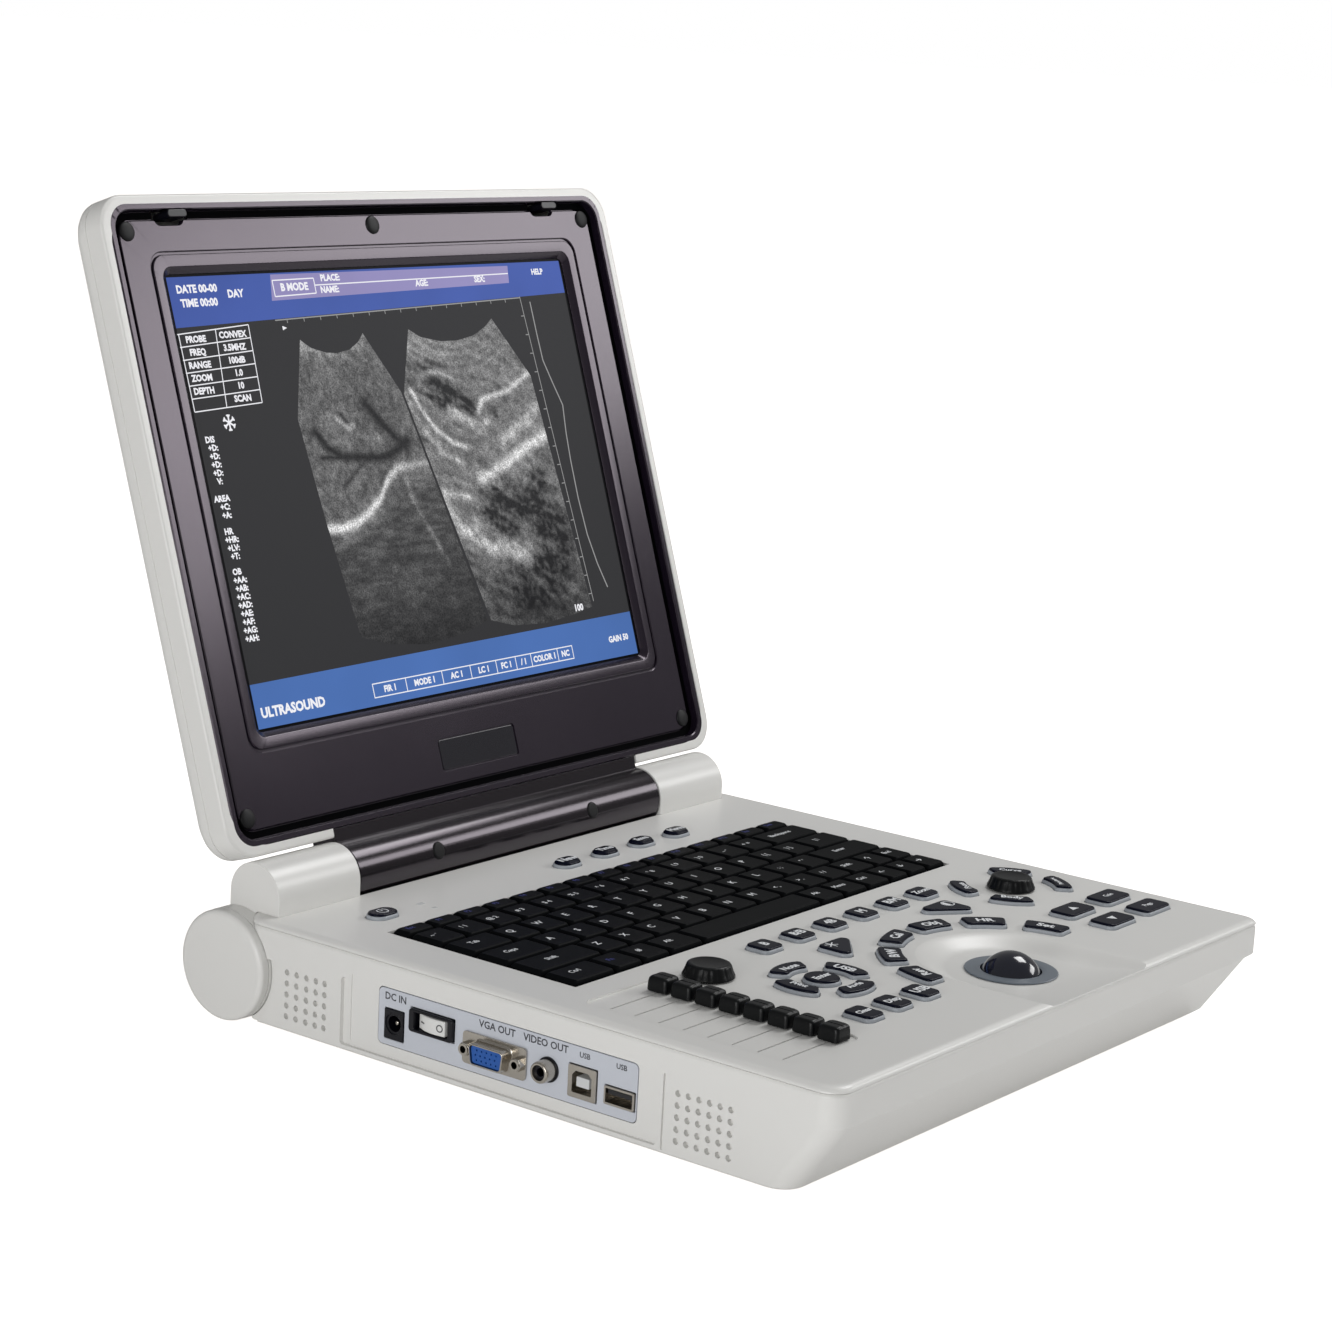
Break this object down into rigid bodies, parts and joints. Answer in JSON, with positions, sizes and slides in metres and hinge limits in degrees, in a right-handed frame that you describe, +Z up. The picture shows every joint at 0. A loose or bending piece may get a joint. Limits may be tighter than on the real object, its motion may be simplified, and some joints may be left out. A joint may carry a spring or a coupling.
{
  "type": "ultrasound scanner",
  "caption": "Laptop-style veterinary ultrasound scanner: white case with keyboard, trackball and gain sliders, side sockets, and a hinged black-framed screen.",
  "frame": {"origin": "under the middle of the bounding box, on the surface it stands on", "axes": "+X to the user's right, +Y to the rear (the hinge side), +Z up"},
  "size_m": [0.3154, 0.3872, 0.3184],
  "materials": {
    "case_white": "fine satin off-white",
    "key_black": "matte black",
    "satin_black": "satin purplish black",
    "cap_navy": "satin dark navy",
    "ball_navy": "polished",
    "ring_grey": "satin blue-grey",
    "plate_lavender": "satin pale lavender",
    "nickel": "satin nickel plate",
    "screen_glass": "dark display",
    "rubber_black": "matte",
    "board_green": "solder mask",
    "battery_blue": "shrink wrap",
    "switch_white": "satin"
  },
  "bodies": {
    "case": {"bottom_case": "case_white", "top_case": "case_white", "rear_barrel": "case_white", "barrel_cap_left": "case_white", "barrel_cap_right": "case_white", "battery_pack": "battery_blue", "main_board": "board_green", "foot_front": "rubber_black", "foot_rear": "rubber_black", "hinge_cover_left": "case_white", "hinge_cover_right": "case_white", "port_plate": "plate_lavender", "dc_jack": "satin_black", "switch_housing": "satin_black", "vga_connector": "nickel", "video_jack": "nickel", "usb_b_port": "nickel", "usb_a_port": "nickel", "keyboard": "key_black", "trackball_ring": "ring_grey"},
    "lid": {"lid_shell": "case_white", "lid_bezel": "satin_black", "lcd_panel": "screen_glass", "hinge_barrel": "satin_black"},
    "latch_left": {"latch_left": "satin_black"},
    "latch_right": {"latch_right": "satin_black"},
    "switch_rocker": {"switch_rocker": "switch_white"},
    "trackball": {"trackball": "ball_navy"},
    "knob_left": {"knob_left": "satin_black"},
    "knob_right": {"knob_right": "satin_black"},
    "slider_1": {"slider_1": "satin_black"},
    "slider_2": {"slider_2": "satin_black"},
    "slider_3": {"slider_3": "satin_black"},
    "slider_4": {"slider_4": "satin_black"},
    "slider_5": {"slider_5": "satin_black"},
    "slider_6": {"slider_6": "satin_black"},
    "slider_7": {"slider_7": "satin_black"},
    "slider_8": {"slider_8": "satin_black"},
    "power_button": {"power_button": "cap_navy"},
    "function_button_1": {"function_button_1": "cap_navy"},
    "function_button_2": {"function_button_2": "cap_navy"},
    "function_button_3": {"function_button_3": "cap_navy"},
    "function_button_4": {"function_button_4": "cap_navy"},
    "mode_button_1": {"mode_button_1": "cap_navy"},
    "mode_button_2": {"mode_button_2": "cap_navy"},
    "mode_button_3": {"mode_button_3": "cap_navy"},
    "mode_button_4": {"mode_button_4": "cap_navy"},
    "mode_button_5": {"mode_button_5": "cap_navy"},
    "mode_button_6": {"mode_button_6": "cap_navy"},
    "freeze_button": {"freeze_button": "cap_navy"},
    "contrast_button": {"contrast_button": "cap_navy"},
    "slant_button": {"slant_button": "cap_navy"},
    "curved_button": {"curved_button": "cap_navy"},
    "focus_button": {"focus_button": "cap_navy"},
    "body_button": {"body_button": "cap_navy"},
    "cursor_pad": {"cursor_pad": "cap_navy"},
    "arc_pad": {"arc_pad": "cap_navy"},
    "trio_pad": {"trio_pad": "cap_navy"},
    "ring_centre": {"ring_centre": "cap_navy"},
    "ring_petals": {"ring_petals": "cap_navy"}
  },
  "joints": [
    {"name": "lid_hinge", "type": "hinge", "parent": "case", "child": "lid", "pos_m": [0, 0.0916, 0.0509], "axis": [1, 0, 0], "range_deg": [-26, 107.8]},
    {"name": "latch_left_slide", "type": "slide", "parent": "lid", "child": "latch_left", "axis": [1, 0, 0], "range_m": [0, 0.0038], "stiffness_N_per_m": 250},
    {"name": "latch_right_slide", "type": "slide", "parent": "lid", "child": "latch_right", "axis": [-1, 0, 0], "range_m": [0, 0.0038], "stiffness_N_per_m": 250},
    {"name": "switch_rocker_pivot", "type": "hinge", "parent": "case", "child": "switch_rocker", "pos_m": [-0.1485, -0.0098, 0.02375], "axis": [0, 0, 1], "range_deg": [-0.01, 13]},
    {"name": "trackball_roll", "type": "hinge", "parent": "case", "child": "trackball", "pos_m": [0.0245, -0.1536, 0.0358], "axis": [1, 0, 0], "continuous": true},
    {"name": "knob_left_turn", "type": "hinge", "parent": "case", "child": "knob_left", "pos_m": [-0.0815, -0.0849, 0.0449], "axis": [0, 0, 1], "continuous": true},
    {"name": "knob_right_turn", "type": "hinge", "parent": "case", "child": "knob_right", "pos_m": [0.1145, -0.0979, 0.0449], "axis": [0, 0, 1], "continuous": true},
    {"name": "slider_1_travel", "type": "slide", "parent": "case", "child": "slider_1", "axis": [-1, 0, 0], "range_m": [0, 0.028]},
    {"name": "slider_2_travel", "type": "slide", "parent": "case", "child": "slider_2", "axis": [-1, 0, 0], "range_m": [0, 0.028]},
    {"name": "slider_3_travel", "type": "slide", "parent": "case", "child": "slider_3", "axis": [-1, 0, 0], "range_m": [0, 0.028]},
    {"name": "slider_4_travel", "type": "slide", "parent": "case", "child": "slider_4", "axis": [-1, 0, 0], "range_m": [0, 0.028]},
    {"name": "slider_5_travel", "type": "slide", "parent": "case", "child": "slider_5", "axis": [-1, 0, 0], "range_m": [0, 0.028]},
    {"name": "slider_6_travel", "type": "slide", "parent": "case", "child": "slider_6", "axis": [-1, 0, 0], "range_m": [0, 0.028]},
    {"name": "slider_7_travel", "type": "slide", "parent": "case", "child": "slider_7", "axis": [-1, 0, 0], "range_m": [0, 0.028]},
    {"name": "slider_8_travel", "type": "slide", "parent": "case", "child": "slider_8", "axis": [-1, 0, 0], "range_m": [0, 0.028]},
    {"name": "power_button_press", "type": "slide", "parent": "case", "child": "power_button", "axis": [0, 0, -1], "range_m": [0, 0.0012], "stiffness_N_per_m": 400},
    {"name": "function_button_1_press", "type": "slide", "parent": "case", "child": "function_button_1", "axis": [0, 0, -1], "range_m": [0, 0.0012], "stiffness_N_per_m": 400},
    {"name": "function_button_2_press", "type": "slide", "parent": "case", "child": "function_button_2", "axis": [0, 0, -1], "range_m": [0, 0.0012], "stiffness_N_per_m": 400},
    {"name": "function_button_3_press", "type": "slide", "parent": "case", "child": "function_button_3", "axis": [0, 0, -1], "range_m": [0, 0.0012], "stiffness_N_per_m": 400},
    {"name": "function_button_4_press", "type": "slide", "parent": "case", "child": "function_button_4", "axis": [0, 0, -1], "range_m": [0, 0.0012], "stiffness_N_per_m": 400},
    {"name": "mode_button_1_press", "type": "slide", "parent": "case", "child": "mode_button_1", "axis": [0, 0, -1], "range_m": [0, 0.0012], "stiffness_N_per_m": 400},
    {"name": "mode_button_2_press", "type": "slide", "parent": "case", "child": "mode_button_2", "axis": [0, 0, -1], "range_m": [0, 0.0012], "stiffness_N_per_m": 400},
    {"name": "mode_button_3_press", "type": "slide", "parent": "case", "child": "mode_button_3", "axis": [0, 0, -1], "range_m": [0, 0.0012], "stiffness_N_per_m": 400},
    {"name": "mode_button_4_press", "type": "slide", "parent": "case", "child": "mode_button_4", "axis": [0, 0, -1], "range_m": [0, 0.0012], "stiffness_N_per_m": 400},
    {"name": "mode_button_5_press", "type": "slide", "parent": "case", "child": "mode_button_5", "axis": [0, 0, -1], "range_m": [0, 0.0012], "stiffness_N_per_m": 400},
    {"name": "mode_button_6_press", "type": "slide", "parent": "case", "child": "mode_button_6", "axis": [0, 0, -1], "range_m": [0, 0.0012], "stiffness_N_per_m": 400},
    {"name": "freeze_button_press", "type": "slide", "parent": "case", "child": "freeze_button", "axis": [0, 0, -1], "range_m": [0, 0.0012], "stiffness_N_per_m": 400},
    {"name": "contrast_button_press", "type": "slide", "parent": "case", "child": "contrast_button", "axis": [0, 0, -1], "range_m": [0, 0.0012], "stiffness_N_per_m": 400},
    {"name": "slant_button_press", "type": "slide", "parent": "case", "child": "slant_button", "axis": [0, 0, -1], "range_m": [0, 0.0012], "stiffness_N_per_m": 400},
    {"name": "curved_button_press", "type": "slide", "parent": "case", "child": "curved_button", "axis": [0, 0, -1], "range_m": [0, 0.0012], "stiffness_N_per_m": 400},
    {"name": "focus_button_press", "type": "slide", "parent": "case", "child": "focus_button", "axis": [0, 0, -1], "range_m": [0, 0.0012], "stiffness_N_per_m": 400},
    {"name": "body_button_press", "type": "slide", "parent": "case", "child": "body_button", "axis": [0, 0, -1], "range_m": [0, 0.0012], "stiffness_N_per_m": 400},
    {"name": "cursor_pad_press", "type": "slide", "parent": "case", "child": "cursor_pad", "axis": [0, 0, -1], "range_m": [0, 0.0012], "stiffness_N_per_m": 400},
    {"name": "arc_pad_press", "type": "slide", "parent": "case", "child": "arc_pad", "axis": [0, 0, -1], "range_m": [0, 0.0012], "stiffness_N_per_m": 400},
    {"name": "trio_pad_press", "type": "slide", "parent": "case", "child": "trio_pad", "axis": [0, 0, -1], "range_m": [0, 0.0012], "stiffness_N_per_m": 400},
    {"name": "ring_centre_press", "type": "slide", "parent": "case", "child": "ring_centre", "axis": [0, 0, -1], "range_m": [0, 0.0012], "stiffness_N_per_m": 400},
    {"name": "ring_petals_press", "type": "slide", "parent": "case", "child": "ring_petals", "axis": [0, 0, -1], "range_m": [0, 0.0012], "stiffness_N_per_m": 400}
  ]
}
